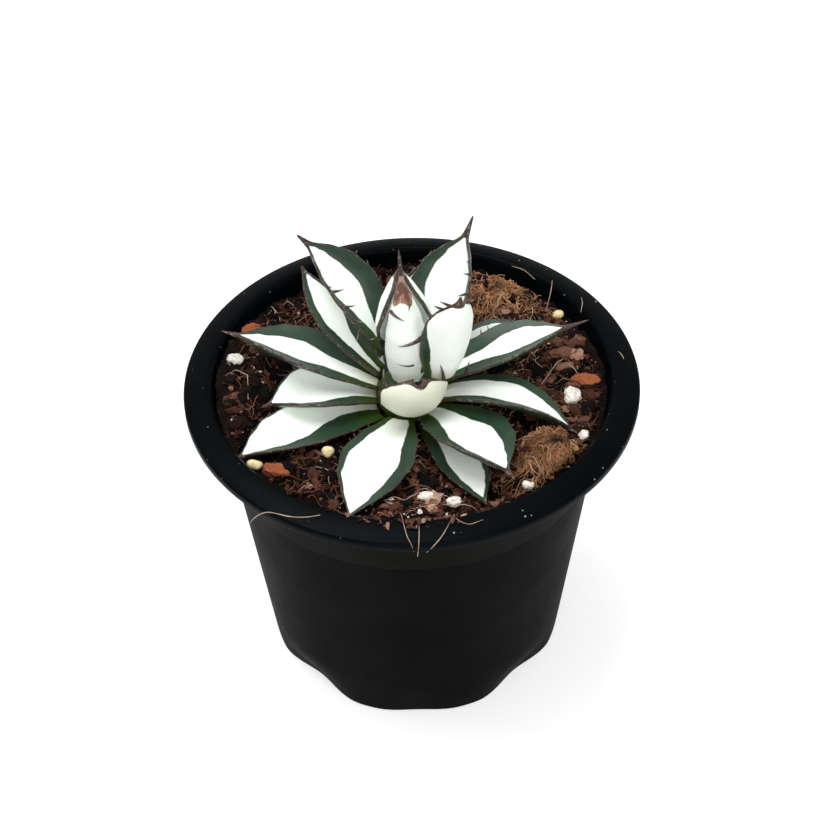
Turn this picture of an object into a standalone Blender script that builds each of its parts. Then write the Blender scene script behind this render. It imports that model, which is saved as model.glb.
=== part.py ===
"""Potted agave: a young white-variegated rosette in a round thermoformed nursery pot.

Every leaf is one closed solid swept along its own curved midline. It leaves the stem at a
base height, turns and bends as it grows, is channelled across its width and ends in a spine.
The frame's origin is on the pot's axis, at the level the pot stands on. +Z is up.
"""
import math

import bmesh
import bpy
from mathutils import Matrix, Vector, noise
from mathutils.bvhtree import BVHTree

MM = 0.001
GAP = 0.3                      # clearance between touching pieces, mm

# ---- pot, mm ----
POT_TOP = 91.1                 # inner edge of the rolled rim
RIM_RADIUS, RIM_EDGE = 60.0, 89.5
LIP_BOTTOM = 87.2
WALL_FOOT_RADIUS = 41.6        # outside radius just above the foot
COLLAR_LOW, COLLAR_LOW_RADIUS = 70.2, 50.5
COLLAR_TOP_RADIUS = 52.8
WALL = 0.9
FLOOR_TOP = 2.1
FLUTE_HEIGHT = 13.0            # the foot's dents fade out here
DEEP_FLUTE, SHALLOW_FLUTE = 3.0, 1.0
DRAIN_RADIUS, DRAIN_CIRCLE = 4.5, 27.0
POT_STEPS = 48

# ---- growing medium, mm ----
SOIL_LEVEL = 84.6
SOIL_HOLLOW = 78.6             # level of the hollow that the rosette sits in
SOIL_MOST = 90.2               # highest level against the wall
POCKET_RADIUS, POCKET_FLOOR = 5.3, 72.0
TOP_RADII = (0, POCKET_RADIUS - 0.1, POCKET_RADIUS, 8, 11, 15, 19.5, 24, 28.5, 33, 37.5, 42, 46, 49.2, 51.2)
SOIL_STEPS = POT_STEPS         # equal steps, or the chords of the two would cross

# ---- plant, mm ----
AXIS = (-1.0, -1.0)            # the stem stands slightly off the pot's axis
MIDLINE_STEPS = 60
STEM_RADIUS, STEM_BASE, STEM_TOP = 7.5, 72.3, 91.2
ROOT_RADIUS = 5.0
BUD_BASE, BUD_LENGTH, BUD_RADIUS = 91.5, 32.5, 5.3
ALONG, SPINE_ROWS, ACROSS = 11, 2, 6        # faces along a blade, along its spine, and across it
SKIN, SKIN_BASE, MARGIN = 0.5, 1.4, 0.55    # a leaf's thickness: gained along it, at its base, at its margin
LEAF_DENT, LEAF_REACH = 0.9, 5.0            # the medium lies this far below a leaf that is this near

# Half width along a leaf, as (share of its length, share of its widest): a blade and two broad inner leaves
BLADE = ((0, .32), (.12, .50), (.34, .82), (.56, 1.0), (.74, .86), (.87, .53), (.95, .24), (1, .07))
SCOOP = ((0, .38), (.28, .84), (.52, 1.0), (.75, .86), (.9, .5), (1, .07))
SHIELD = ((0, .6), (.25, .88), (.5, 1.0), (.72, .96), (.87, .74), (.95, .42), (1, .12))

# Each leaf: azimuth at the base and its turn, rise at base and tip, height and distance from the
# stem's axis at the base, length, half width, half angle of the channel at base and tip, roll at
# base and tip, and length of the spine. Degrees and millimetres.
LEAVES = {
    "leaf_low_left": dict(az=-156, turn=12, rise=(14, -2), base=(81.4, 8.0), length=41, half=9.4,
                          curl=(14, 26), roll=(0, -10), spine=2),
    "leaf_low_front": dict(az=-103, turn=-12, rise=(20, -14), base=(83.0, 8.0), length=40, half=9.6,
                           curl=(14, 26), roll=(0, 0), spine=2),
    "leaf_low_front_right": dict(az=-60, turn=-10, rise=(8, -2), base=(81.2, 8.0), length=35, half=6.2,
                                 curl=(12, 30), roll=(0, 0), spine=1.5),
    "leaf_front_right": dict(az=-52, turn=-9, rise=(23, -2), base=(84.4, 8.0), length=36, half=10.5,
                             curl=(14, 28), roll=(0, 14), spine=4),
    "leaf_right": dict(az=-18, turn=-9, rise=(29, -32), base=(86.6, 8.0), length=38.5, half=8.6,
                       curl=(14, 24), roll=(0, 32), spine=3),
    "leaf_left": dict(az=-176, turn=12, rise=(24, -16), base=(84.5, 8.0), length=29, half=9.2,
                      curl=(16, 44), roll=(0, -4), spine=3),
    "leaf_upper_left": dict(az=167, turn=0, rise=(23, 6), base=(87.3, 7.8), length=39, half=9.6,
                            curl=(18, 32), roll=(0, -18), spine=5),
    "leaf_upper_right": dict(az=9, turn=4, rise=(24, 9), base=(89.6, 7.4), length=36, half=8.2,
                             curl=(18, 34), roll=(0, 12), spine=7),
    "leaf_rear_right_low": dict(az=30, turn=-5, rise=(31, -2), base=(84.8, 8.0), length=30, half=7.2,
                                curl=(14, 30), roll=(0, 0), spine=3),
    "leaf_rear_left": dict(az=128, turn=28, rise=(58, 32), base=(92.4, 9.0), length=36, half=7.8,
                           curl=(50, 64), roll=(4, 30), spine=4),
    "leaf_rear_left_low": dict(az=154, turn=-27, rise=(36, 45), base=(89.6, 8.0), length=33, half=5.4,
                               curl=(34, 46), roll=(0, 14), spine=2),
    "leaf_rear_right": dict(az=62, turn=-8, rise=(50, 50), base=(89.4, 8.0), length=35, half=9.8,
                            curl=(44, 60), roll=(0, 0), spine=6),
    "leaf_rear": dict(az=84, turn=-12, rise=(42, 28), base=(85.6, 8.0), length=31, half=6.6,
                      curl=(24, 44), roll=(0, 0), spine=3),
    "leaf_rear_low": dict(az=121, turn=4, rise=(24, -2), base=(84.4, 8.0), length=27, half=7.4,
                          curl=(14, 30), roll=(0, 0), spine=2),
    "leaf_inner_right": dict(az=-27, turn=10, rise=(77, 80), base=(94.8, 10.2), length=26.5, half=7.5,
                             curl=(44, 50), roll=(54, 42), spine=2.5, outline=SHIELD),
    "leaf_inner_front": dict(az=-79, turn=0, rise=(0, 148), base=(89.2, 7.4), length=16.4, half=10.4,
                             curl=(72, 34), roll=(0, -16), spine=0.6, outline=SCOOP),
    "leaf_bud_wrapper": dict(az=100, turn=0, rise=(82, 88), base=(91.9, 6.3), length=27, half=11.0,
                             curl=(45, 118), roll=(0, 0), spine=4),
}

# Loose pieces on the medium: centre x and y, size, tilt about Z. The first word names the material.
LOOSE = {
    "husk_chunk": (33.5, -28.5, (12, 15, 5.5), -25),
    "perlite_right": (42, -6, (4.6, 5.2, 4), 0),
    "perlite_right_small": (44, -20, (2.8, 3.4, 2.4), 0),
    "perlite_front": (10, -46, (4.2, 3, 2.6), 0),
    "perlite_front_left": (3, -43, (4.4, 2.6, 2.2), 10),
    "perlite_front_right": (28.5, -40, (3, 2.6, 2.2), 0),
    "perlite_left": (-47, 9, (4.8, 3, 2.4), -15),
    "bark_chip_right": (46, 0, (7.5, 3.8, 2.4), -8),
    "bark_chip_front": (-34, -33, (6.5, 3.6, 2.6), -20),
    "bark_chip_left": (-43.5, 21, (5.5, 4, 2.6), 30),
    "feed_granule_left": (-40, -29.5, (4.6, 2.4, 2.2), -10),
    "feed_granule_rear": (40.5, 27, (3.4, 2.6, 2.4), 0),
    "feed_prill": (-21.6, -24, (3, 3, 3), 0),
}


def clear_scene():
    for obj in list(bpy.data.objects):
        bpy.data.objects.remove(obj, do_unlink=True)


def material(name, colour, roughness, metallic=0.0):
    made = bpy.data.materials.new(name)
    made.use_nodes = True
    shader = made.node_tree.nodes["Principled BSDF"]
    shader.inputs["Base Color"].default_value = (*colour, 1)
    shader.inputs["Roughness"].default_value = roughness
    shader.inputs["Metallic"].default_value = metallic
    return made


def add(name, bm, look, smooth_angle=40):
    bmesh.ops.remove_doubles(bm, verts=bm.verts, dist=1e-6)
    bmesh.ops.recalc_face_normals(bm, faces=bm.faces)
    mesh = bpy.data.meshes.new(name)
    bm.to_mesh(mesh)
    bm.free()
    mesh.materials.append(look)
    mesh.shade_smooth()
    mesh.set_sharp_from_angle(angle=math.radians(smooth_angle))
    obj = bpy.data.objects.new(name, mesh)
    bpy.context.scene.collection.objects.link(obj)
    return obj


def ease(t):
    t = max(0.0, min(1.0, t))
    return t * t * (3 - 2 * t)


def along(knots, t):
    """Eased interpolation through (position, value) knots."""
    for (a, va), (b, vb) in zip(knots, knots[1:]):
        if t <= b:
            return va + (vb - va) * (0.5 * (t - a) / (b - a) + 0.5 * ease((t - a) / (b - a)))
    return knots[-1][1]


def angle_off(a, b):
    """Signed difference of two angles in degrees, -180 to 180."""
    return (a - b + 180) % 360 - 180


def flute(azimuth, z):
    """How far the foot's wall is pressed in, mm: deep dents between shallow ones."""
    if z >= FLUTE_HEIGHT:
        return 0.0
    fade = ease(1 - z / FLUTE_HEIGHT)
    near = min(abs(angle_off(azimuth, 45 + 90 * k)) for k in range(4))
    mid = min(abs(angle_off(azimuth, 90 * k)) for k in range(4))
    return fade * (DEEP_FLUTE * ease(1 - near / 22) + SHALLOW_FLUTE * ease(1 - mid / 16))


def wall_radius(z):
    """Outside radius of the plain wall, mm."""
    return WALL_FOOT_RADIUS + (COLLAR_LOW_RADIUS - 0.95 - WALL_FOOT_RADIUS) * z / COLLAR_LOW


def inner_radius(z):
    """Inside radius of the pot, mm."""
    if z < COLLAR_LOW - 0.6:
        return wall_radius(z) - WALL
    rise = (z - COLLAR_LOW) / (LIP_BOTTOM - COLLAR_LOW)
    return COLLAR_LOW_RADIUS + (COLLAR_TOP_RADIUS - COLLAR_LOW_RADIUS) * rise - WALL


def turned(profile, steps, closed=False):
    """A solid of revolution about Z from (radius, z) points in mm."""
    bm = bmesh.new()
    points = [bm.verts.new((r * MM, 0, z * MM)) for r, z in profile]
    edges = [bm.edges.new(pair) for pair in zip(points, points[1:])]
    if closed:
        edges.append(bm.edges.new((points[-1], points[0])))
    bmesh.ops.spin(bm, geom=points + edges, cent=(0, 0, 0), axis=(0, 0, 1),
                   angle=math.tau, steps=steps, use_merge=True)
    return bm


def build_pot(look):
    collar_in = COLLAR_LOW_RADIUS - WALL
    profile = [
        (0, 1.1), (37.6, 1.1), (38.2, 0), (40.6, 0), (WALL_FOOT_RADIUS, 0.7),
        (wall_radius(5), 5), (wall_radius(9), 9), (wall_radius(13), 13), (wall_radius(40), 40),
        (wall_radius(69.4), 69.4), (COLLAR_LOW_RADIUS, COLLAR_LOW), (COLLAR_TOP_RADIUS, LIP_BOTTOM + 1.4),
        (53.5, 89.6), (59.0, 88.2), (59.1, LIP_BOTTOM), (RIM_RADIUS, LIP_BOTTOM),
        (RIM_RADIUS, RIM_EDGE - 0.4), (RIM_RADIUS - 0.4, RIM_EDGE + 0.1), (54.3, POT_TOP),
        (53.4, POT_TOP - 0.1), (52.6, POT_TOP - 0.9), (inner_radius(88.6), 88.6),
        (collar_in, COLLAR_LOW + 0.6), (inner_radius(69.2), 69.2), (inner_radius(40), 40),
        (inner_radius(13), 13), (inner_radius(9), 9), (inner_radius(5), 5),
        (inner_radius(FLOOR_TOP), FLOOR_TOP), (0, FLOOR_TOP),
    ]
    bm = turned(profile, POT_STEPS)
    for vert in bm.verts:
        z = vert.co.z / MM
        r = math.hypot(vert.co.x, vert.co.y) / MM
        if r > 35 and z < FLUTE_HEIGHT:
            dent = flute(math.degrees(math.atan2(vert.co.y, vert.co.x)), z)
            vert.co.xy *= (r - dent) / r
    pot = add("pot", bm, look, 30)
    cutter = bmesh.new()
    spots = [(0, 0)] + [(DRAIN_CIRCLE * math.cos(math.radians(a)), DRAIN_CIRCLE * math.sin(math.radians(a)))
                        for a in range(22, 360, 90)]
    for x, y in spots:
        bmesh.ops.create_cone(cutter, cap_ends=True, segments=16, radius1=DRAIN_RADIUS * MM,
                              radius2=DRAIN_RADIUS * MM, depth=8 * MM,
                              matrix=Matrix.Translation((x * MM, y * MM, 1.6 * MM)))
    drains = add("drain_cutter", cutter, look)
    drains.hide_render = True
    drains.display_type = "WIRE"
    cut = pot.modifiers.new("drain_holes", "BOOLEAN")
    cut.operation, cut.solver, cut.object = "DIFFERENCE", "EXACT", drains
    return pot


def midline(leaf):
    """Fine samples of the leaf's midline: (point, tangent, side, face) in mm."""
    steps = MIDLINE_STEPS
    total = leaf["length"] + leaf["spine"]
    start = math.radians(leaf["az"])
    height, radius = leaf["base"]
    at = Vector((AXIS[0] + radius * math.cos(start), AXIS[1] + radius * math.sin(start), height))
    samples = []
    for i in range(steps + 1):
        u = min(1.0, total * i / steps / leaf["length"])
        az = math.radians(leaf["az"] + leaf["turn"] * u)
        rise = math.radians(leaf["rise"][0] + (leaf["rise"][1] - leaf["rise"][0]) * u ** 1.2)
        tangent = Vector((math.cos(az) * math.cos(rise), math.sin(az) * math.cos(rise), math.sin(rise)))
        side = Vector((-math.sin(az), math.cos(az), 0))
        roll = math.radians(leaf["roll"][0] + (leaf["roll"][1] - leaf["roll"][0]) * u)
        face = tangent.cross(side)
        turn = Matrix.Rotation(-roll, 3, tangent)
        if i:
            at = at + (tangent + samples[-1][1]) * (0.5 * total / steps)
        samples.append((at.copy(), tangent, turn @ side, turn @ face))
    return samples


def leaf_point(leaf, samples, s, v, under):
    """A point of the leaf's skin. s is the distance along the midline, v runs -1 to 1 across."""
    length, total = leaf["length"], leaf["length"] + leaf["spine"]
    place = min(s / total, 1.0) * (len(samples) - 1)
    low = min(int(place), len(samples) - 2)
    a, b, f = samples[low], samples[low + 1], place - low
    at, side, face = (a[k].lerp(b[k], f) for k in (0, 2, 3))
    u = min(s / length, 1.0)
    half = leaf["half"] * along(leaf.get("outline", BLADE), u)
    thick = SKIN_BASE + SKIN * min(u / 0.4, 1)
    if u > 0.68:
        thick *= math.sqrt(max(1 - ((u - 0.68) / 0.34) ** 2, 0.03))
    edge = MARGIN
    if s > length:
        fade = 1 - (s - length) / leaf["spine"]
        half = 0.12 + (half - 0.12) * fade
        thick *= fade
        edge = 0.2 + 0.35 * fade
    curl = math.radians(leaf["curl"][0] + (leaf["curl"][1] - leaf["curl"][0]) * u)
    radius, turn = half / curl, v * curl
    skin = at + side * (radius * math.sin(turn)) + face * (radius * (1 - math.cos(turn)))
    if under:
        normal = face * math.cos(turn) - side * math.sin(turn)
        skin -= normal * (thick * (1 - abs(v) ** 2.2) + edge)
    return skin


def build_leaf(name, leaf, look):
    samples = midline(leaf)
    rows = ALONG + SPINE_ROWS
    bm = bmesh.new()
    bmesh.ops.create_grid(bm, x_segments=ACROSS, y_segments=rows, size=1)
    top = list(bm.verts)
    skin = bmesh.ops.extrude_face_region(bm, geom=bm.faces[:], use_keep_orig=True)
    below = {part for part in skin["geom"] if isinstance(part, bmesh.types.BMVert)}
    for vert in top + list(below):
        row = (vert.co.y + 1) / 2 * rows
        if row <= ALONG:
            s = leaf["length"] * row / ALONG
        else:
            s = leaf["length"] + leaf["spine"] * (row - ALONG) / SPINE_ROWS
        vert.co = leaf_point(leaf, samples, s, vert.co.x, vert in below) * MM
    return add(name, bm, look, 60)


def build_stem(look):
    profile = [(0, STEM_BASE), (ROOT_RADIUS - 0.8, STEM_BASE), (ROOT_RADIUS, STEM_BASE + 1.2),
               (ROOT_RADIUS, 79.2), (STEM_RADIUS - 0.6, 80.4), (STEM_RADIUS, 82), (STEM_RADIUS, 86),
               (STEM_RADIUS - 0.6, 88.6), (STEM_RADIUS - 2.2, 90.4), (STEM_RADIUS - 4, STEM_TOP),
               (0, STEM_TOP)]
    bm = turned(profile, 20)
    bmesh.ops.translate(bm, verts=bm.verts, vec=(AXIS[0] * MM, AXIS[1] * MM, 0))
    return add("stem", bm, look)


def build_bud(look):
    """The closed centre leaves, rolled into one tapering cone with a spine, leaning slightly back."""
    knots = ((0, .72), (.12, .93), (.28, 1.0), (.45, .97), (.6, .85), (.8, .54), (.93, .27), (1, .12))
    rows = 12
    shares = [i / rows for i in range(rows + 1)]
    profile = [(0, 0)] + [(BUD_RADIUS * along(knots, share), BUD_LENGTH * share) for share in shares]
    profile += [(0.4, BUD_LENGTH + 3.6), (0.12, BUD_LENGTH + 8.6), (0, BUD_LENGTH + 8.7)]
    bm = turned(profile, 16)
    for vert in bm.verts:
        up = vert.co.z / (BUD_LENGTH * MM)
        vert.co += Vector((AXIS[0] - 0.4 - 0.3 * up ** 2, AXIS[1] + 0.3 * up ** 2, BUD_BASE)) * MM
    return add("centre_bud", bm, look)


def soil_level(x, y):
    """Height of the loose surface at a point, mm, before the leaves press on it."""
    r = math.hypot(x, y)
    az = math.degrees(math.atan2(y, x))
    bank = 1.6 + 2.6 * ease(1 - abs(angle_off(az, -90)) / 60) + 1.6 * ease(1 - abs(angle_off(az, 175)) / 60)
    level = SOIL_LEVEL + bank * ease((r - 34) / 15)
    level -= (SOIL_LEVEL - SOIL_HOLLOW) * ease((26 - math.hypot(x - AXIS[0], y - AXIS[1])) / 15)
    broad = 1.5 * noise.noise(Vector((x * 0.11, y * 0.11, 3.1)))
    fine = 0.7 * noise.noise(Vector((x * 0.3, y * 0.3, 7.7)))
    return level + (broad + fine) * ease((r - 8) / 10)


def settle(vert, lows):
    """Moves one vertex of the top face to its place and height."""
    x, y, _ = vert.co / MM
    r = math.hypot(x, y)
    slide = ease(1 - max(0.0, r - POCKET_RADIUS) / 24)
    x, y = x + AXIS[0] * slide, y + AXIS[1] * slide
    if r < POCKET_RADIUS - 0.05:
        level = POCKET_FLOOR
    else:
        level = soil_level(x, y)
        near = [low.z for low in lows if math.hypot(low.x - x, low.y - y) < LEAF_REACH]
        if near:
            level = min(level, min(near) - LEAF_DENT)
    if r > TOP_RADII[-2] + 0.5:
        level = min(level, SOIL_MOST)
        shrink = (inner_radius(level) - GAP - 0.4) / r
        x, y = x * shrink, y * shrink
    vert.co = Vector((x, y, level)) * MM


def build_soil(look, leaves):
    """One plug of growing medium. Its top dips under each leaf that lies close to it."""
    lows = [vert.co / MM for obj in leaves for vert in obj.data.vertices]
    above = 2 * POT_TOP        # the top face starts clear of the sides, and settle() lowers it
    sides = (80, COLLAR_LOW + 0.8, COLLAR_LOW - 1.3, 40, FLUTE_HEIGHT, 9, 5, FLOOR_TOP + GAP)
    profile = [(r, above) for r in TOP_RADII]
    profile += [(inner_radius(z) - GAP, z) for z in sides]
    profile.append((0, FLOOR_TOP + GAP))
    bm = turned(profile, SOIL_STEPS)
    bmesh.ops.remove_doubles(bm, verts=bm.verts, dist=1e-6)
    for vert in bm.verts:
        x, y, z = vert.co / MM
        if z > above - 1:
            settle(vert, lows)
        elif z < FLUTE_HEIGHT and math.hypot(x, y) > 35:
            r = math.hypot(x, y)
            vert.co.xy *= (r - flute(math.degrees(math.atan2(y, x)), z)) / r
    return add("growing_medium", bm, look, 50)


def build_lump(name, look, at, size, tilt, soil):
    """A loose irregular piece resting on the surface: centre (x, y), size (x, y, z), tilt about Z."""
    bm = bmesh.new()
    bmesh.ops.create_icosphere(bm, subdivisions=1 if max(size) < 5 else 2, radius=0.5)
    for vert in bm.verts:
        bulge = 1 + 0.28 * noise.noise(vert.co * 3.1 + Vector((at[0], at[1], 0)))
        vert.co = Vector(c * s for c, s in zip(vert.co, size)) * (bulge * MM)
    bmesh.ops.rotate(bm, verts=bm.verts, cent=(0, 0, 0), matrix=Matrix.Rotation(math.radians(tilt), 3, "Z"))
    clear = []
    for vert in bm.verts:
        start = Vector((at[0] * MM + vert.co.x, at[1] * MM + vert.co.y, 2 * POT_TOP * MM))
        ground = soil.ray_cast(start, Vector((0, 0, -1)))[0]
        if ground:
            clear.append(vert.co.z - ground.z)
    bmesh.ops.translate(bm, verts=bm.verts, vec=(at[0] * MM, at[1] * MM, GAP * MM - min(clear)))
    return add(name, bm, look)


def main():
    clear_scene()
    plastic = material("black_plastic", (0.012, 0.013, 0.015), 0.38)
    medium = material("bark_and_coir", (0.055, 0.03, 0.02), 0.95)
    leaf_skin = material("variegated_leaf", (0.86, 0.88, 0.78), 0.45)
    stem_skin = material("leaf_base", (0.35, 0.42, 0.2), 0.6)
    build_pot(plastic)
    leaves = [build_leaf(name, leaf, leaf_skin) for name, leaf in LEAVES.items()]
    build_stem(stem_skin)
    build_bud(leaf_skin)
    soil = build_soil(medium, leaves)
    tree = BVHTree.FromPolygons([v.co.copy() for v in soil.data.vertices],
                                [tuple(p.vertices) for p in soil.data.polygons])
    looks = {
        "perlite": material("perlite", (0.8, 0.78, 0.74), 0.85),
        "bark": material("bark", (0.33, 0.12, 0.05), 0.85),
        "husk": material("coir_husk", (0.38, 0.2, 0.08), 0.9),
        "feed": material("feed_granule", (0.72, 0.6, 0.33), 0.6),
    }
    for name, (x, y, size, tilt) in LOOSE.items():
        build_lump(name, looks[name.split("_")[0]], (x, y), size, tilt, tree)


main()
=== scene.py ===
# %% [markdown]
# # A young variegated agave in its nursery pot
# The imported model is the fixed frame: every solid already has its size and its place. This file
# keeps those places and gives each piece its real surface. A plant like this is three kinds of
# thing in one: moulded plastic, which is smooth and turned; leaves, which are grown sheets with a
# pattern that follows them; and a loose mix, which is thousands of small shapes. Each kind gets
# the tool that suits it.

# %% Load the model
import math
import random

import bmesh
import bpy
from mathutils import Matrix, Vector, noise
from mathutils.bvhtree import BVHTree
from mathutils.geometry import interpolate_bezier


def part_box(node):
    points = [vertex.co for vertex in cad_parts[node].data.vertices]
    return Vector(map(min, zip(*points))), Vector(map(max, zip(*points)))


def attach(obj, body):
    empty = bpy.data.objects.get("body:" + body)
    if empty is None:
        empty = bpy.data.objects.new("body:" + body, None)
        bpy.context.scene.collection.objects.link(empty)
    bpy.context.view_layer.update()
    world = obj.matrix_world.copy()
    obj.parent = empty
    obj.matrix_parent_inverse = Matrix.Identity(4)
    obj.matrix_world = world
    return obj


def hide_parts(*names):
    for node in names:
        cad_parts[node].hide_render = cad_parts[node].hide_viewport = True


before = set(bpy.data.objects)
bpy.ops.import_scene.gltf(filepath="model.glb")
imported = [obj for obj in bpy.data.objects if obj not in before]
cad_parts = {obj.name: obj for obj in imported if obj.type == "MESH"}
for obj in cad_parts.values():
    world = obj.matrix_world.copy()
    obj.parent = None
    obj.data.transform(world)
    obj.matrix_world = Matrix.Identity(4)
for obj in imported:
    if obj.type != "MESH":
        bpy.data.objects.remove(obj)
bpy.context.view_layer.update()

MM = 0.001
BODY = "root"

# %% [markdown]
# ## Camera, floor and light
# The camera looks down at the pot from the front, about 43 degrees above the level, with a long
# lens, so that the round rim reads as a calm ellipse. The floor is plain and pale. The light is
# that of a bright overcast room: an even white surround, and one large soft lamp overhead, so that
# the leaves stay clean and only the hollows under them go dark.

# %% Camera
VIEW_CENTRE = Vector((2.0, 0.0, 74.0)) * MM
VIEW_DISTANCE, VIEW_RISE, VIEW_LEAN = 500.0 * MM, 43.5, -1.05
LENS = 79.6

rise = math.radians(VIEW_RISE)
lens = bpy.data.cameras.new("view")
lens.lens, lens.sensor_width = LENS, 36.0
lens.clip_start, lens.clip_end = 0.01, 20.0
camera = bpy.data.objects.new("view", lens)
camera.location = VIEW_CENTRE + VIEW_DISTANCE * Vector((0, -math.cos(rise), math.sin(rise)))
camera.rotation_mode = "QUATERNION"
turned_down = Matrix.Rotation(math.pi / 2 - rise, 3, "X")
camera.rotation_quaternion = (turned_down @ Matrix.Rotation(math.radians(VIEW_LEAN), 3, "Z")).to_quaternion()
bpy.context.scene.collection.objects.link(camera)
bpy.context.scene.camera = camera
bpy.context.scene.view_settings.view_transform = "Standard"

# %% Surround and lamps
world = bpy.data.worlds.new("studio")
world.use_nodes = True
world.node_tree.nodes["Background"].inputs["Color"].default_value = (1, 1, 1, 1)
world.node_tree.nodes["Background"].inputs["Strength"].default_value = 0.7
bpy.context.scene.world = world


def lamp(name, place, size, power):
    """A square soft lamp aimed at the rosette."""
    light = bpy.data.lights.new(name, "AREA")
    light.size, light.energy = size, power
    holder = bpy.data.objects.new(name, light)
    holder.location = place
    holder.rotation_mode = "QUATERNION"
    holder.rotation_quaternion = (VIEW_CENTRE - Vector(place)).to_track_quat("-Z", "Y")
    bpy.context.scene.collection.objects.link(holder)


lamp("overhead", (-0.25, 0.1, 1.1), 0.7, 9.0)
lamp("front_fill", (0.35, -1.1, 0.7), 0.9, 7.0)
print("camera at", [round(c, 3) for c in camera.location])

# %% [markdown]
# ## Small helpers for shaders and pieces
# Node trees are easier to read when one short call makes a node, sets its numbers and joins its
# inputs. A second helper makes a node group with named sockets, for effects that several
# materials share. The groups put out masks and values only, and each Principled shader stays in
# its own material.

# %% Shader helpers
def node(tree, kind, inputs=None, **options):
    """Adds a shader node. inputs holds a number, a colour or another node's output for each socket."""
    made = tree.nodes.new("ShaderNode" + kind)
    for option, value in options.items():
        setattr(made, option, value)
    for name, value in (inputs or {}).items():
        if isinstance(value, bpy.types.NodeSocket):
            tree.links.new(value, made.inputs[name])
        else:
            made.inputs[name].default_value = value
    return made


def mix(tree, share, first, second):
    """Colour that goes from first to second as share goes from 0 to 1."""
    return node(tree, "Mix", {0: share, 6: first, 7: second}, data_type="RGBA").outputs[2]


def ramp(tree, value, low, high, start=0.0, end=1.0):
    """Smooth step of value from start to end while it goes from low to high."""
    made = node(tree, "MapRange", {"Value": value, "From Min": low, "From Max": high},
                interpolation_type="SMOOTHSTEP")
    made.inputs["To Min"].default_value, made.inputs["To Max"].default_value = start, end
    return made.outputs[0]


def sums(tree, operation, first, second):
    """One sum on two numbers or outputs."""
    return node(tree, "Math", {0: first, 1: second}, operation=operation).outputs[0]


def rgb(red, green, blue):
    """A colour as it looks on a screen, 0 to 255, in the linear values that shaders take."""
    return tuple((c / 255) ** 2.2 for c in (red, green, blue)) + (1.0,)


def new_material(name, roughness, specular=0.5):
    """A material with its Principled shader, ready for nodes: (material, tree, shader)."""
    made = bpy.data.materials.new(name)
    made.use_nodes = True
    shader = made.node_tree.nodes["Principled BSDF"]
    shader.inputs["Roughness"].default_value = roughness
    shader.inputs["Specular IOR Level"].default_value = specular
    return made, made.node_tree, shader


def bump(tree, shader, height, distance, strength=1.0):
    """Feeds a height, whose full step is distance metres, to the shader's normal."""
    made = node(tree, "Bump", {"Height": height, "Distance": distance, "Strength": strength})
    tree.links.new(made.outputs[0], shader.inputs["Normal"])


def new_group(name, inputs, outputs):
    """An empty shader group: (tree, its input sockets by name, its output sockets by name)."""
    tree = bpy.data.node_groups.new(name, "ShaderNodeTree")
    for label, kind, value in inputs:
        socket = tree.interface.new_socket(label, in_out="INPUT", socket_type="NodeSocket" + kind)
        if value is not None:
            socket.default_value = value
    for label, kind in outputs:
        tree.interface.new_socket(label, in_out="OUTPUT", socket_type="NodeSocket" + kind)
    return tree, tree.nodes.new("NodeGroupInput").outputs, tree.nodes.new("NodeGroupOutput").inputs


def use_group(tree, group, inputs):
    """Places a group in a material and returns its outputs."""
    made = tree.nodes.new("ShaderNodeGroup")
    made.node_tree = group
    for name, value in inputs.items():
        if isinstance(value, bpy.types.NodeSocket):
            tree.links.new(value, made.inputs[name])
        else:
            made.inputs[name].default_value = value
    return made.outputs


# %% Two shared effects: mottling and specks
mottling, put, give = new_group(
    "mottling",
    [("Place", "Vector", None), ("Scale", "Float", 100.0), ("Detail", "Float", 4.0),
     ("Contrast", "Float", 1.0)],
    [("Value", "Float")])
cloud = node(mottling, "TexNoise", {"Vector": put["Place"], "Scale": put["Scale"], "Detail": put["Detail"],
                                    "Roughness": 0.62})
centred = sums(mottling, "SUBTRACT", cloud.outputs[0], 0.5)
spread = sums(mottling, "MULTIPLY", centred, put["Contrast"])
level = node(mottling, "Math", {0: spread, 1: 0.5}, operation="ADD", use_clamp=True)
mottling.links.new(level.outputs[0], give["Value"])

specks, put, give = new_group(
    "specks",
    [("Place", "Vector", None), ("Scale", "Float", 300.0), ("Size", "Float", 0.25),
     ("Amount", "Float", 0.1)],
    [("Mask", "Float")])
cells = node(specks, "TexVoronoi", {"Vector": put["Place"], "Scale": put["Scale"]})
draw = node(specks, "TexWhiteNoise", {"Vector": cells.outputs["Position"]})
chosen = sums(specks, "LESS_THAN", draw.outputs[0], put["Amount"])
dot_size = sums(specks, "MULTIPLY", put["Size"], draw.outputs[0])
reach = sums(specks, "DIVIDE", dot_size, put["Amount"])
dot = sums(specks, "LESS_THAN", cells.outputs["Distance"], reach)
specks.links.new(sums(specks, "MULTIPLY", dot, chosen), give["Mask"])


def mottle(tree, place, scale, detail, contrast):
    """Soft clouds, 0 to 1. scale is in clouds per metre, and a contrast over 1 sharpens them."""
    inputs = {"Place": place, "Scale": scale, "Detail": detail, "Contrast": contrast}
    return use_group(tree, mottling, inputs)["Value"]


# %% Piece helpers
def finish_piece(name, mesh, look, nodes=(), smooth_angle=None):
    """Makes the mesh a piece of the object: its finish, its body and the solids it stands for."""
    mesh.name = name
    if look:
        mesh.materials.clear()
        mesh.materials.append(look)
    mesh.shade_smooth()
    if smooth_angle:
        mesh.set_sharp_from_angle(angle=math.radians(smooth_angle))
    piece = bpy.data.objects.new(name, mesh)
    bpy.context.scene.collection.objects.link(piece)
    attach(piece, BODY)
    if nodes:
        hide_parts(*nodes)
    return piece


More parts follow.
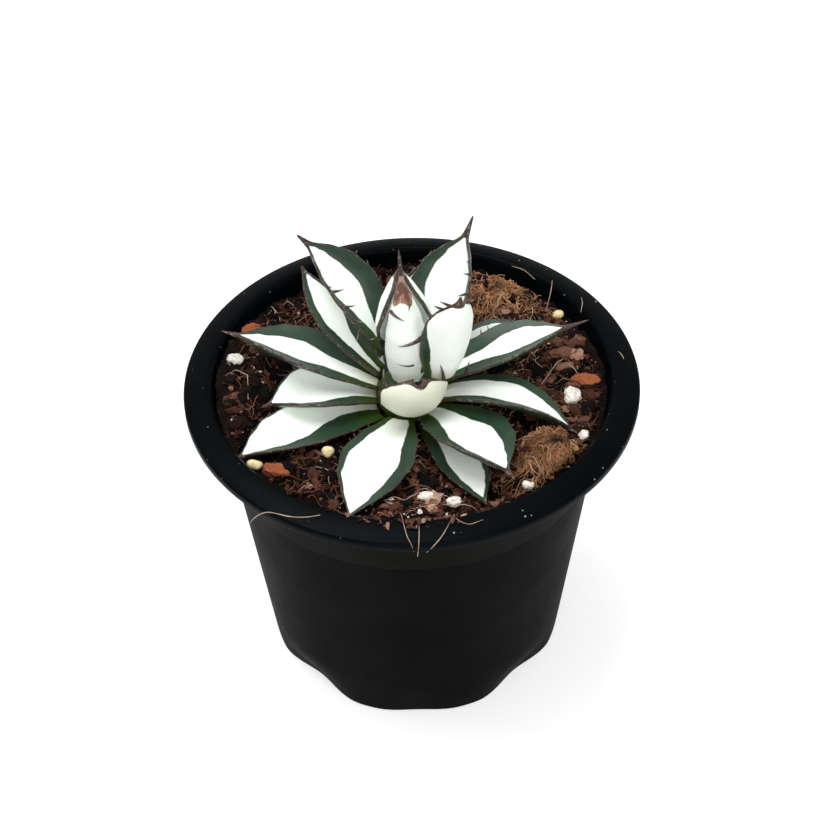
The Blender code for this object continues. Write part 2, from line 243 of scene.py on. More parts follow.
def to_mesh(bm, merge=1e-7):
    """Merges doubles, turns the faces outwards and hands back a mesh."""
    bmesh.ops.remove_doubles(bm, verts=bm.verts, dist=merge)
    bmesh.ops.recalc_face_normals(bm, faces=bm.faces)
    mesh = bpy.data.meshes.new("piece")
    bm.to_mesh(mesh)
    bm.free()
    return mesh


def pour(bm, small):
    """Adds one small bmesh to a large one. Operators slow down in a mesh that is already large."""
    mesh = bpy.data.meshes.new("poured")
    small.to_mesh(mesh)
    small.free()
    bm.from_mesh(mesh)
    bpy.data.meshes.remove(mesh)


def ease(t):
    t = max(0.0, min(1.0, t))
    return t * t * (3 - 2 * t)


def along(knots, t):
    """Eased interpolation through (position, value) knots."""
    for (a, va), (b, vb) in zip(knots, knots[1:]):
        if t <= b:
            return va + (vb - va) * (0.5 * (t - a) / (b - a) + 0.5 * ease((t - a) / (b - a)))
    return knots[-1][1]


def angle_off(a, b):
    """Signed difference of two angles in degrees, -180 to 180."""
    return (a - b + 180) % 360 - 180


# %% [markdown]
# ## The pot
# A nursery pot is blown from one thin sheet of black plastic: a wide rolled rim, a collar a little
# wider than the wall, and a foot pressed in at intervals. It is a turned shape, so its section is
# drawn once and spun about the axis. The dents of the foot are then pressed in by moving points
# inwards, and the creases get a small bevel, because real moulded plastic has no sharp corner.

# %% Pot sizes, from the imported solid
pot_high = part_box("pot")[1]
POT_TOP = pot_high.z / MM
RIM_RADIUS, RIM_EDGE, LIP_BOTTOM = pot_high.x / MM, 89.5, 87.2
WALL_FOOT_RADIUS, WALL, FLOOR_TOP = 41.6, 0.9, 2.1
COLLAR_LOW, COLLAR_LOW_RADIUS, COLLAR_TOP_RADIUS = 70.2, 50.5, 52.8
FLUTE_HEIGHT, DEEP_FLUTE, SHALLOW_FLUTE = 13.0, 3.0, 1.0
DEEP_WIDTH, SHALLOW_WIDTH = 22, 16
DRAIN_RADIUS, DRAIN_CIRCLE = 4.5, 27.0
GAP = 0.3
POT_STEPS = 192
print("pot:", round(2 * RIM_RADIUS, 1), "mm across,", round(POT_TOP, 1), "mm high")


def flute(azimuth, z):
    """How far the foot's wall is pressed in, mm."""
    if z >= FLUTE_HEIGHT:
        return 0.0
    near = min(abs(angle_off(azimuth, 45 + 90 * k)) for k in range(4))
    mid = min(abs(angle_off(azimuth, 90 * k)) for k in range(4))
    pressed = DEEP_FLUTE * ease(1 - near / DEEP_WIDTH) + SHALLOW_FLUTE * ease(1 - mid / SHALLOW_WIDTH)
    return ease(1 - z / FLUTE_HEIGHT) * pressed


def wall_radius(z):
    """Outside radius of the plain wall, mm."""
    return WALL_FOOT_RADIUS + (COLLAR_LOW_RADIUS - 0.95 - WALL_FOOT_RADIUS) * z / COLLAR_LOW


def inner_radius(z):
    """Inside radius of the pot, mm."""
    if z < COLLAR_LOW - 0.6:
        return wall_radius(z) - WALL
    rise = (z - COLLAR_LOW) / (LIP_BOTTOM - COLLAR_LOW)
    return COLLAR_LOW_RADIUS + (COLLAR_TOP_RADIUS - COLLAR_LOW_RADIUS) * rise - WALL


def turned(profile, steps):
    """A surface of revolution about Z from (radius, z) points in mm."""
    bm = bmesh.new()
    points = [bm.verts.new((r * MM, 0, z * MM)) for r, z in profile]
    edges = [bm.edges.new(pair) for pair in zip(points, points[1:])]
    bmesh.ops.spin(bm, geom=points + edges, cent=(0, 0, 0), axis=(0, 0, 1),
                   angle=math.tau, steps=steps, use_merge=True)
    bmesh.ops.remove_doubles(bm, verts=bm.verts, dist=1e-7)
    return bm


def press_flutes(bm):
    for vert in bm.verts:
        x, y, z = vert.co / MM
        r = math.hypot(x, y)
        if r > 35 and z < FLUTE_HEIGHT:
            vert.co.xy *= (r - flute(math.degrees(math.atan2(y, x)), z)) / r


# %% Pot shape
def shape_pot():
    outside = [wall_radius(z) for z in range(0, 70, 3)]
    profile = [(0, 1.1), (37.6, 1.1), (38.2, 0), (40.6, 0), (WALL_FOOT_RADIUS, 0.7)]
    profile += [(r, 3 * k) for k, r in enumerate(outside) if k]
    profile += [
        (wall_radius(69.4), 69.4), (COLLAR_LOW_RADIUS, COLLAR_LOW), (COLLAR_TOP_RADIUS, LIP_BOTTOM + 1.4),
        (53.5, 89.6), (59.0, 88.2), (59.1, LIP_BOTTOM), (RIM_RADIUS, LIP_BOTTOM),
        (RIM_RADIUS, RIM_EDGE - 0.4), (RIM_RADIUS - 0.4, RIM_EDGE + 0.1), (54.3, POT_TOP),
        (53.4, POT_TOP - 0.1), (52.6, POT_TOP - 0.9), (inner_radius(88.6), 88.6),
        (COLLAR_LOW_RADIUS - WALL, COLLAR_LOW + 0.6), (inner_radius(69.2), 69.2)]
    profile += [(inner_radius(z), z) for z in (40, 13, 11, 9, 7, 5, FLOOR_TOP)]
    profile.append((0, FLOOR_TOP))
    bm = turned(profile, POT_STEPS)
    press_flutes(bm)
    bmesh.ops.recalc_face_normals(bm, faces=bm.faces)
    creases = [edge for edge in bm.edges if edge.is_manifold and edge.calc_face_angle() > math.radians(24)
               and edge.verts[0].co.z > 60 * MM]
    bmesh.ops.bevel(bm, geom=creases, offset=0.22 * MM, offset_type="OFFSET", affect="EDGES",
                    segments=2, profile=0.5, material=-1, clamp_overlap=True)
    return to_mesh(bm)


def drill(mesh, holes, radius):
    """Cuts round holes through the floor with a Boolean, and hands back the cut mesh."""
    cutter = bmesh.new()
    for x, y in holes:
        bmesh.ops.create_cone(cutter, cap_ends=True, segments=32, radius1=radius * MM, radius2=radius * MM,
                              depth=8 * MM, matrix=Matrix.Translation((x * MM, y * MM, 1.6 * MM)))
    tool = bpy.data.objects.new("drill", to_mesh(cutter))
    work = bpy.data.objects.new("drilled", mesh)
    for obj in (tool, work):
        bpy.context.scene.collection.objects.link(obj)
    cut = work.modifiers.new("holes", "BOOLEAN")
    cut.operation, cut.solver, cut.object = "DIFFERENCE", "EXACT", tool
    done = bpy.data.meshes.new_from_object(work.evaluated_get(bpy.context.evaluated_depsgraph_get()))
    for obj in (tool, work):
        bpy.data.objects.remove(obj, do_unlink=True)
    return done


ring = [math.radians(a) for a in range(22, 360, 90)]
drains = [(0, 0)] + [(DRAIN_CIRCLE * math.cos(a), DRAIN_CIRCLE * math.sin(a)) for a in ring]
pot_mesh = drill(shape_pot(), drains, DRAIN_RADIUS)
print("pot faces:", len(pot_mesh.polygons))

# %% [markdown]
# ### Black plastic
# The plastic is a near-black, satin on the rim that hands have rubbed, and duller on the wall,
# where the mould left faint vertical flow marks. The flat rim is painted lighter and bluer than the
# wall, as a painted reflection of the bright surround, and the collar band is painted a little
# lighter than the wall below it, which is left as painted shade. Fine pale dust sits on the flat
# rim. All of it is a few noises on object coordinates, mixed by height.

# %% Black plastic
def plastic_look():
    made, tree, shader = new_material("black_plastic", 0.5, 0.03)
    place = node(tree, "TexCoord").outputs["Object"]
    height = node(tree, "SeparateXYZ", {0: place}).outputs[2]
    on_rim = ramp(tree, height, 86.0 * MM, 87.4 * MM)
    patches = mottle(tree, place, 45.0, 5.0, 1.8)
    squeeze = node(tree, "Mapping", {"Vector": place, "Scale": (1, 1, 0.08)}).outputs[0]
    flow = mottle(tree, squeeze, 260.0, 3.0, 1.6)
    lit_collar_band = ramp(tree, height, 69.6 * MM, 70.6 * MM)
    wall = mix(tree, flow, rgb(3, 3, 3), rgb(9, 9, 9))
    # Painted light: the collar band is lighter than the wall below it, which stands in painted shade.
    wall = mix(tree, lit_collar_band, wall, rgb(11, 11, 8))
    # Painted reflection: the flat rim is lighter and bluer than the wall. The patches on it are rubbed wear.
    rim = mix(tree, patches, rgb(4, 7, 8), rgb(11, 16, 19))
    dust = use_group(tree, specks, {"Place": place, "Scale": 800.0, "Size": 0.22, "Amount": 0.12})["Mask"]
    drift = mottle(tree, place, 90.0, 4.0, 4.0)
    facing_up = node(tree, "SeparateXYZ", {0: node(tree, "NewGeometry").outputs["Normal"]}).outputs[2]
    settled = sums(tree, "MULTIPLY", ramp(tree, facing_up, 0.2, 0.8), sums(tree, "MULTIPLY", dust, drift))
    colour = mix(tree, settled, mix(tree, on_rim, wall, rim), rgb(150, 150, 146))
    tree.links.new(colour, shader.inputs["Base Color"])
    rough = sums(tree, "ADD", sums(tree, "MULTIPLY", patches, 0.16), ramp(tree, on_rim, 0, 1, 0.5, 0.3))
    tree.links.new(rough, shader.inputs["Roughness"])
    bump(tree, shader, sums(tree, "ADD", flow, sums(tree, "MULTIPLY", patches, 1.5)), 0.05 * MM)
    return made


black_plastic = plastic_look()
finish_piece("nursery_pot", pot_mesh, black_plastic, ["pot"], 35)

# %% [markdown]
# ## The leaves
# Each leaf is one thick sheet that leaves the stem, turns and bends, is folded into a channel and
# ends in a spine. It starts as a flat grid whose rows run along the leaf and whose columns run
# across it. The grid is extruded once for its underside, and then every point is carried to its
# place on the leaf's own curved midline. Columns crowd towards the margins, where the horny edge
# needs them. A Subdivision Surface rounds what is left.

# %% Leaf table
# name: azimuth and turn, rise at base and tip, base height and distance from the stem's axis,
# length, half width, half angle of the channel at base and tip, roll at base and tip, spine.
# green: width of the dark band at four places from base to tip, on the right margin and then on
# the left one, as the leaf is seen with its tip away from the viewer. teeth: how many stand on
# each margin, and the longest. horn: how wide the brown edge is. ripe: length of the tan tip. cream:
# the share of a leaf that the whole of a young one looks like. Degrees and mm.
AXIS = (-1.0, -1.0)
BLADE = ((0, .32), (.12, .50), (.34, .82), (.56, 1.0), (.74, .86), (.87, .53), (.95, .24), (1, .07))
SCOOP = ((0, .38), (.28, .84), (.52, 1.0), (.75, 1.0), (.9, .98), (1, .9))
SHIELD = ((0, .6), (.25, .88), (.5, 1.0), (.72, .96), (.87, .74), (.95, .42), (1, .12))
LEAVES = {
    "leaf_low_left": dict(az=-156, turn=12, rise=(14, -2), base=(81.4, 8.0), length=41, half=9.4,
                          curl=(14, 26), roll=(0, -10), spine=2,
                          green=((.4, .4, .4, .3), (9, 7.7, 3.5, .5)), teeth=(9, 0.9)),
    "leaf_low_front": dict(az=-103, turn=-12, rise=(20, -14), base=(83.0, 8.0), length=40, half=9.6,
                           curl=(14, 26), roll=(0, 0), spine=2,
                           green=((2.4, 2.0, 1.2, .3), (2.6, 4.0, 3.6, .6)), teeth=(9, 1.1)),
    "leaf_low_front_right": dict(az=-60, turn=-10, rise=(8, -2), base=(81.2, 8.0), length=35, half=6.2,
                                 curl=(12, 30), roll=(0, 0), spine=1.5,
                                 green=((3.5, 3.2, 2.4, 1.0), (1.4, 1.3, 1.2, .8)), teeth=(7, 1.0)),
    "leaf_front_right": dict(az=-52, turn=-9, rise=(23, -2), base=(84.4, 8.0), length=36, half=10.5,
                             curl=(14, 28), roll=(0, 14), spine=4,
                             green=((5.5, 4.6, 2.6, .5), (3.4, 5.0, 4.0, .6)), teeth=(8, 1.2)),
    "leaf_right": dict(az=-18, turn=-9, rise=(29, -32), base=(86.6, 8.0), length=38.5, half=8.6,
                       curl=(14, 24), roll=(0, 32), spine=3,
                       green=((2.4, 4.0, 3.6, .8), (1.2, 2.4, 3.0, .8)), teeth=(9, 1.3)),
    "leaf_left": dict(az=-176, turn=12, rise=(24, -16), base=(84.5, 8.0), length=29, half=9.2,
                      curl=(16, 44), roll=(0, -4), spine=3,
                      green=((.6, .5, .5, .4), (5, 4.2, 1.8, .5)), teeth=(7, 1.6)),
    "leaf_upper_left": dict(az=167, turn=0, rise=(23, 6), base=(87.3, 7.8), length=39, half=9.6,
                            curl=(18, 32), roll=(0, -18), spine=5,
                            green=((5, 6, 4.4, .6), (3, 5, 4.4, .7)), teeth=(8, 1.8)),
    "leaf_upper_right": dict(az=9, turn=4, rise=(24, 9), base=(89.6, 7.4), length=36, half=8.2,
                             curl=(18, 34), roll=(0, 12), spine=7,
                             green=((4, 5.2, 4.0, .7), (3.5, 4.6, 2.2, .6)), teeth=(8, 1.6)),
    "leaf_rear_right_low": dict(az=30, turn=-5, rise=(31, -2), base=(84.8, 8.0), length=30, half=7.2,
                                curl=(14, 30), roll=(0, 0), spine=3,
                                green=((3, 3, 2, .8), (1.4, 1.6, 1.4, .8)), teeth=(7, 1.3)),
    "leaf_rear_left": dict(az=128, turn=28, rise=(58, 32), base=(92.4, 9.0), length=36, half=7.8,
                           curl=(50, 64), roll=(4, 30), spine=4,
                           green=((5.0, 5.4, 4.6, .8), (5.0, 3.0, .6, .3)),
                           under=((4, 4, 3, 1), (3, 2.6, 2.4, 1)), teeth=(6, 2.6)),
    "leaf_rear_left_low": dict(az=154, turn=-27, rise=(36, 45), base=(89.6, 8.0), length=33, half=5.4,
                               curl=(34, 46), roll=(0, 14), spine=2,
                               green=((2.8, 2.8, .8, .3), (3.0, 2.8, 2.4, .8)), teeth=(6, 1.8)),
    "leaf_rear_right": dict(az=62, turn=-8, rise=(50, 50), base=(89.4, 8.0), length=35, half=9.8,
                            curl=(44, 60), roll=(0, 0), spine=6,
                            green=((2, 2, 1.4, .5), (4, 4.8, 3.2, .7)), teeth=(7, 2.2)),
    "leaf_rear": dict(az=84, turn=-12, rise=(42, 28), base=(85.6, 8.0), length=31, half=6.6,
                      curl=(24, 44), roll=(0, 0), spine=3,
                      green=((3, 3, 2, .6), (.8, .8, .8, .5)), teeth=(7, 1.4)),
    "leaf_rear_low": dict(az=121, turn=4, rise=(24, -2), base=(84.4, 8.0), length=27, half=7.4,
                          curl=(14, 30), roll=(0, 0), spine=2,
                          green=((6.0, 3.4, 2, .6), (6.0, 3.0, 2, .6)), teeth=(7, 1.2)),
    "leaf_inner_right": dict(az=-28, turn=10, rise=(77, 80), base=(94.8, 9.4), length=26.5, half=7.5,
                             curl=(44, 50), roll=(54, 42), spine=2.5, outline=SHIELD, horn=0.42, ripe=0.6,
                             green=((3.0, 2.9, .25, .2), (.5, .5, .5, .3)), teeth=(3, 0.8)),
    "leaf_inner_front": dict(az=-79, turn=0, rise=(0, 148), base=(89.2, 7.4), length=16.4, half=10.4,
                             curl=(72, 34), roll=(0, -16), spine=0.6, outline=SCOOP, notch=2.4, horn=0.75,
                             green=((.2, .2, .2, .2), (.2, .2, .2, .2)), teeth=(2, 0.4), cream=0.05),
    "leaf_bud_wrapper": dict(az=100, turn=0, rise=(82, 88), base=(91.9, 6.3), length=27, half=11.0,
                             curl=(45, 132), roll=(0, 0), spine=1.5, horn=0.4, ripe=1,
                             green=((5.5, 1.2, .9, .4), (5.5, 1.2, .9, .4)), teeth=(3, 0.6)),
}
MARGIN, SKIN, SKIN_BASE = 0.42, 0.5, 1.4
BAND_PLACES = (0.08, 0.4, 0.75, 1.0)
LAYERS = ("pale", "rim", "share", "ripe", "tip")
HORN = 0.16
ROW, ACROSS = 1.1, 20
MIDLINE_STEPS = 60
print("leaves in the table:", len(LEAVES))


# %% From flat grid to leaf
def midline(leaf):
    """Fine samples of the leaf's midline: (point, tangent, side, face) in mm."""
    total = leaf["length"] + leaf["spine"]
    start = math.radians(leaf["az"])
    height, radius = leaf["base"]
    at = Vector((AXIS[0] + radius * math.cos(start), AXIS[1] + radius * math.sin(start), height))
    samples = []
    for i in range(MIDLINE_STEPS + 1):
        u = min(1.0, total * i / MIDLINE_STEPS / leaf["length"])
        az = math.radians(leaf["az"] + leaf["turn"] * u)
        rise = math.radians(leaf["rise"][0] + (leaf["rise"][1] - leaf["rise"][0]) * u ** 1.2)
        tangent = Vector((math.cos(az) * math.cos(rise), math.sin(az) * math.cos(rise), math.sin(rise)))
        side = Vector((-math.sin(az), math.cos(az), 0))
        roll = math.radians(leaf["roll"][0] + (leaf["roll"][1] - leaf["roll"][0]) * u)
        turn = Matrix.Rotation(-roll, 3, tangent)
        if i:
            at = at + (tangent + samples[-1][1]) * (0.5 * total / MIDLINE_STEPS)
        samples.append((at.copy(), tangent, turn @ side, turn @ tangent.cross(side)))
    return samples


def half_width(leaf, s):
    """Half the leaf's width in mm at the distance s along it."""
    half = leaf["half"] * along(leaf.get("outline", BLADE), min(s / leaf["length"], 1.0))
    if s > leaf["length"]:
        half = 0.12 + (half - 0.12) * (1 - (s - leaf["length"]) / leaf["spine"])
    return half


def leaf_point(leaf, samples, s, v, under):
    """(point, outward, normal) of the leaf's skin. s is the distance along it, v runs -1 to 1 across."""
    length, total = leaf["length"], leaf["length"] + leaf["spine"]
    if "notch" in leaf:
        s -= leaf["notch"] * math.exp(-((v - 0.02) / 0.17) ** 2) * ease((s / total - 0.6) / 0.4)
    place = min(s / total, 1.0) * (len(samples) - 1)
    low = min(int(place), len(samples) - 2)
    a, b, f = samples[low], samples[low + 1], place - low
    at, side, face = (a[k].lerp(b[k], f) for k in (0, 2, 3))
    u = min(s / length, 1.0)
    thick = SKIN_BASE + SKIN * min(u / 0.4, 1)
    if u > 0.68:
        thick *= math.sqrt(max(1 - ((u - 0.68) / 0.34) ** 2, 0.03))
    edge = MARGIN
    if s > length:
        fade = 1 - (s - length) / leaf["spine"]
        thick *= fade
        edge = 0.2 + 0.35 * fade
    curl = math.radians(leaf["curl"][0] + (leaf["curl"][1] - leaf["curl"][0]) * u)
    radius, turn = half_width(leaf, s) / curl, v * curl
    skin = at + side * (radius * math.sin(turn)) + face * (radius * (1 - math.cos(turn)))
    outward = side * math.cos(turn) + face * math.sin(turn)
    normal = face * math.cos(turn) - side * math.sin(turn)
    if under:
        skin -= normal * (thick * (1 - abs(v) ** 2.2) + edge)
    return skin, outward, normal


# %% [markdown]
# ### Teeth
# The margin is a strip of horn, and teeth stand on it, each on a slight swelling and leaning a
# little, none quite like the next. A tooth is a small ring that is extruded point by point along
# a bent line while it tapers. The inner leaves carry a few long hooks, and those are listed one by
# one: share of the leaf, margin, length, and the way they point.

# %% One horn, and a leaf's teeth
HOOKS = {
    "leaf_inner_front": [(0.95, -0.86, 5.6, (-0.06, 0.3, 1)), (0.97, 0.96, 5.6, (-0.2, 0.2, 1))],
    "leaf_inner_right": [(0.97, -0.8, 4.0, (-0.8, -0.15, 0.62)), (0.92, -0.95, 3.2, (-0.75, -0.2, 0.6)),
                         (0.95, 1, 2.6, (0.7, -0.3, 0.5))],
    "leaf_bud_wrapper": [(0.42, 1, 2.6, (-1, -0.6, 0.2)), (0.55, -1, 2.4, (0.8, -0.8, 0.3))],
    "leaf_rear_left": [(0.64, 1, 4.4, (0.95, -0.3, 0.5)), (0.5, 1, 4.4, (0.95, -0.3, 0.4)),
                       (0.37, 1, 3.4, (0.9, -0.5, 0.2)), (0.28, 1, 3.0, (-0.2, -0.9, -0.4))],
    "leaf_rear_left_low": [(0.74, -1, 3.0, (0.8, -0.3, 0.7)), (0.57, -1, 4.6, (1, -0.3, 0.1)),
                           (0.51, -1, 3.6, (0.7, -0.4, 0.8)), (0.36, -1, 3.6, (0.5, -0.7, -0.3))],
    "leaf_rear_right": [(0.3, -1, 3.6, (-0.6, -1, 0.3)), (0.45, -1, 3.2, (-0.9, -0.7, 0.1)),
                        (0.62, -1, 3.4, (-1, -0.6, 0.2)), (0.76, -1, 2.4, (-0.9, -0.5, 0.6))],
    "leaf_upper_left": [(0.52, 1, 2.8, (-0.3, -0.3, 1)), (0.42, 1, 2.6, (0.3, -0.3, 1))],
    "leaf_upper_right": [(0.22, -1, 4.6, (0.25, 0.1, 1))],
}


def horn(points, thick, sides=6):
    """A tapered horn through these points, in mm: a grid rolled into a tube, closed at both ends."""
    bm = bmesh.new()
    tip = bm.verts.layers.float.new("tip")
    rows = len(points)
    bmesh.ops.create_grid(bm, x_segments=sides, y_segments=rows, size=1)
    for vert in bm.verts:
        angle, row = math.pi * (vert.co.x + 1), round((vert.co.y + 1) / 2 * rows)
        k = max(row - 1, 0)
        vert[tip] = k / (rows - 1)
        ahead = (points[min(k + 1, rows - 1)] - points[max(k - 1, 0)]).to_track_quat("Z", "Y")
        size = thick * (1 - k / (rows - 1)) ** 0.8 if row else 0.0
        vert.co = (points[k] + ahead @ Vector((size * math.cos(angle), size * math.sin(angle), 0))) * MM
    bmesh.ops.remove_doubles(bm, verts=bm.verts, dist=1e-6)
    bmesh.ops.recalc_face_normals(bm, faces=bm.faces)
    return bm


def tooth_places(leaf, dice):
    """(distance along, margin, length, lean) of each tooth."""
    count, longest = leaf["teeth"]
    places = []
    for side in (-1, 1):
        for k in range(count):
            share = 0.2 + 0.68 * (k + 0.5 + dice.uniform(-0.25, 0.25)) / count
            size = longest * (0.55 + 0.45 * math.sin(math.pi * share)) * dice.uniform(0.7, 1.25)
            places.append((leaf["length"] * share, side, size, dice.uniform(-0.5, 0.7)))
    return places


def grow_teeth(bm, leaf, samples, places, dice):
    for s, side, size, lean in places:
        root, outward, normal = leaf_point(leaf, samples, s, side, False)
        ahead = (leaf_point(leaf, samples, s + 0.5, side, False)[0] - root).normalized()
        outward = outward * side
        root = root - normal * (0.5 * MARGIN) - outward * 0.35
        way = (outward + ahead * lean + normal * dice.uniform(0.0, 0.5)).normalized()
        bend = ahead * dice.uniform(-0.35, 0.35) + normal * dice.uniform(0.0, 0.3)
        steps = [root + way * (size + 0.35) * t + bend * size * t * t for t in (0, 0.25, 0.5, 0.75, 1.0)]
        pour(bm, horn(steps, 0.2 + 0.06 * size))


def grow_hooks(bm, leaf, samples, hooks):
    for share, side, size, way in hooks:
        root, outward, normal = leaf_point(leaf, samples, share * leaf["length"], side, False)
        root = root - normal * (0.5 * MARGIN) - outward * (0.4 * side)
        way = Vector(way).normalized()
        bend = outward * (-0.22 * side)
        shares = (0, .15, .35, .55, .78, 1)
        steps = [root + (way * t - bend * (t - t * t) * 1.6) * (size + 0.4) for t in shares]
        pour(bm, horn(steps, 0.36 + 0.07 * size))


# %% Shape one leaf, with the distances that its colours need
def shape_leaf(name, leaf):
    dice = random.Random(name)
    samples = midline(leaf)
    length, total = leaf["length"], leaf["length"] + leaf["spine"]
    places = tooth_places(leaf, dice)
    bm = bmesh.new()
    pale, rim, share, ripe, _ = [bm.verts.layers.float.new(key) for key in LAYERS]
    bmesh.ops.create_grid(bm, x_segments=ACROSS, y_segments=round(total / ROW), size=1)
    made = bmesh.ops.extrude_face_region(bm, geom=bm.faces[:], use_keep_orig=True)
    below = {part for part in made["geom"] if isinstance(part, bmesh.types.BMVert)}
    for vert in bm.verts:
        s = total * (vert.co.y + 1) / 2
        v = math.sin(vert.co.x * math.pi / 2)
        under = vert in below
        point, outward, _ = leaf_point(leaf, samples, s, v, under)
        if s < length:
            swell = sum(math.exp(-((s - at) / 0.7) ** 2) for at, side, *_ in places if side * v > 0)
            point += outward * math.copysign((0.28 * min(swell, 1) - 0.06) * abs(v) ** 6, v)
        vert.co = point * MM
        u, half = min(s / length, 1.0), half_width(leaf, s)
        narrow = min(1.0, half / (0.75 * leaf["half"])) if u < 0.5 else 1.0
        bands = leaf.get("under", leaf["green"]) if under else leaf["green"]
        reach = [narrow * along([(0, band[0]), *zip(BAND_PLACES, band)], u) for band in bands]
        vert[pale] = min((1 + v) * half - reach[0], (1 - v) * half - reach[1])
        vert[rim] = min((1 - abs(v)) * half, length - s) + HORN - leaf.get("horn", HORN)
        vert[share] = leaf.get("cream", u)
        vert[ripe] = s - length + leaf["ripe"] if "ripe" in leaf else -1.0
    grow_teeth(bm, leaf, samples, places, dice)
    grow_hooks(bm, leaf, samples, HOOKS.get(name, []))
    mesh = bpy.data.meshes.new(name)
    bmesh.ops.recalc_face_normals(bm, faces=bm.faces)
    bm.to_mesh(mesh)
    bm.free()
    return mesh


# %% [markdown]
# ### Leaf skin
# The shape step stored distances on every point: how far inside the white part it is, how far it
# is from the margin, and its share of the way from base to tip. The shader only has to compare
# them: white where the first is positive, horn where the second is small, green between. A little
# noise makes each border waver, as it does on a grown leaf. Near a ripe tip the skin goes tan.

# %% Leaf skin
def leaf_look():
    made, tree, shader = new_material("agave_leaf", 0.42, 0.4)
    place = node(tree, "TexCoord").outputs["Object"]
    stored = [node(tree, "Attribute", attribute_name=key).outputs["Fac"] for key in LAYERS]
    pale, rim, share, ripe, tip = stored
    waver = mottle(tree, place, 330.0, 3.0, 1.0)
    fine = mottle(tree, place, 900.0, 3.0, 1.4)
    broad = mottle(tree, place, 110.0, 3.0, 2.0)
    border = sums(tree, "ADD", pale, sums(tree, "MULTIPLY", waver, 0.7))
    white_part = ramp(tree, border, 0.28, 0.6)
    white = mix(tree, broad, rgb(232, 240, 231), rgb(245, 250, 244))
    white = mix(tree, ramp(tree, share, 0.0, 0.22, 0.8, 0.0), white, rgb(186, 186, 158))
    green = mix(tree, broad, rgb(22, 44, 30), rgb(46, 70, 50))
    green = mix(tree, ramp(tree, share, 0.05, 0.36, 1.0, 0.0), green, rgb(48, 68, 22))
    skin = mix(tree, white_part, green, white)
    grain = node(tree, "Mapping", {"Vector": place, "Scale": (1, 1, 0.12)}).outputs[0]
    streaks = mottle(tree, grain, 900.0, 3.0, 2.6)
    tan = mix(tree, ramp(tree, ripe, 0.3, 2.6), rgb(150, 110, 90), rgb(98, 64, 52))
    tan = mix(tree, ramp(tree, streaks, 0.6, 0.95, 0.0, 0.4), tan, rgb(206, 184, 160))
    tanned = ramp(tree, sums(tree, "ADD", ripe, sums(tree, "MULTIPLY", waver, 1.6)), 0.8, 1.3)
    skin = mix(tree, tanned, skin, tan)
    edge = sums(tree, "ADD", rim, sums(tree, "MULTIPLY", fine, 0.3))
    horny = ramp(tree, edge, HORN + 0.06, HORN + 0.2, 1.0, 0.0)
    horn_colour = mix(tree, ramp(tree, fine, 0.55, 0.75), rgb(58, 42, 36), rgb(124, 108, 96))
    horn_colour = mix(tree, ramp(tree, tip, 0.45, 0.95, 0.0, 0.75), horn_colour, rgb(150, 142, 132))
    colour = mix(tree, horny, skin, horn_colour)
    tree.links.new(colour, shader.inputs["Base Color"])
    rough = sums(tree, "ADD", ramp(tree, white_part, 0, 1, 0.36, 0.46), sums(tree, "MULTIPLY", fine, 0.12))
    tree.links.new(rough, shader.inputs["Roughness"])
    relief = sums(tree, "ADD", sums(tree, "MULTIPLY", broad, 2.0), sums(tree, "MULTIPLY", fine, 0.5))
    bump(tree, shader, relief, 0.06 * MM)
    return made


agave_leaf = leaf_look()
leaf_pieces = []
for name, leaf in LEAVES.items():
    piece = finish_piece(name.replace("leaf", "blade"), shape_leaf(name, leaf), agave_leaf, [name])
    rounding = piece.modifiers.new("rounding", "SUBSURF")
    rounding.levels = rounding.render_levels = 1
    leaf_pieces.append(piece)
print("leaves:", len(leaf_pieces), "faces before rounding:", sum(len(p.data.polygons) for p in leaf_pieces))

# %% [markdown]
# ## The bud and the stem
# The youngest leaves are still rolled round each other into one tapering bud. Seen from outside it
# is a smooth white cone, with a ripe brown tip that ends in a spine, and with the print and the
# hooks of the leaves that were pressed against it. A turned shape gives the cone, and the hooks are
# horns that lie along its surface. The stem under it is short and green where it shows at all.

# %% Bud
BUD_BASE, BUD_LENGTH, BUD_RADIUS, BUD_SPINE = 91.5, 32.5, 5.3, 8.7
BUD_KNOTS = ((0, .72), (.12, .93), (.28, 1.0), (.45, .93), (.6, .74), (.8, .44), (.93, .22), (1, .12))
RIPE_FROM = 116.5


def bud_centre(z):
    up = (z - BUD_BASE) / BUD_LENGTH
    return Vector((AXIS[0] - 0.4 - 0.7 * up * up, AXIS[1] + 0.3 * up * up, z))


def bud_radius(z):
    share = (z - BUD_BASE) / BUD_LENGTH
    if share <= 1:
        return BUD_RADIUS * along(BUD_KNOTS, max(share, 0))
    return 0.62 * (1 - (z - BUD_BASE - BUD_LENGTH) / BUD_SPINE) ** 0.6 + 0.05


def on_bud(angle, z, lift=0.0):
    """A point on the bud's surface: angle in degrees, z in mm."""
    turn = math.radians(angle)
    fold = 0.16 * math.exp(-(angle_off(angle, -20 + 2.2 * (z - 100)) / 9) ** 2)
    radius = bud_radius(z) * (1 + fold * ease((122 - z) / 8)) + lift
    return bud_centre(z) + Vector((math.cos(turn), math.sin(turn), 0)) * radius


def bud_hook(start, sweep, z, drop, thick):
    """A hook that lies along the bud from one angle round to another."""
    shares = [k / 7 for k in range(8)]
    return horn([on_bud(start + sweep * t, z + drop * t * t, 0.05 + 0.25 * t) for t in shares], thick)


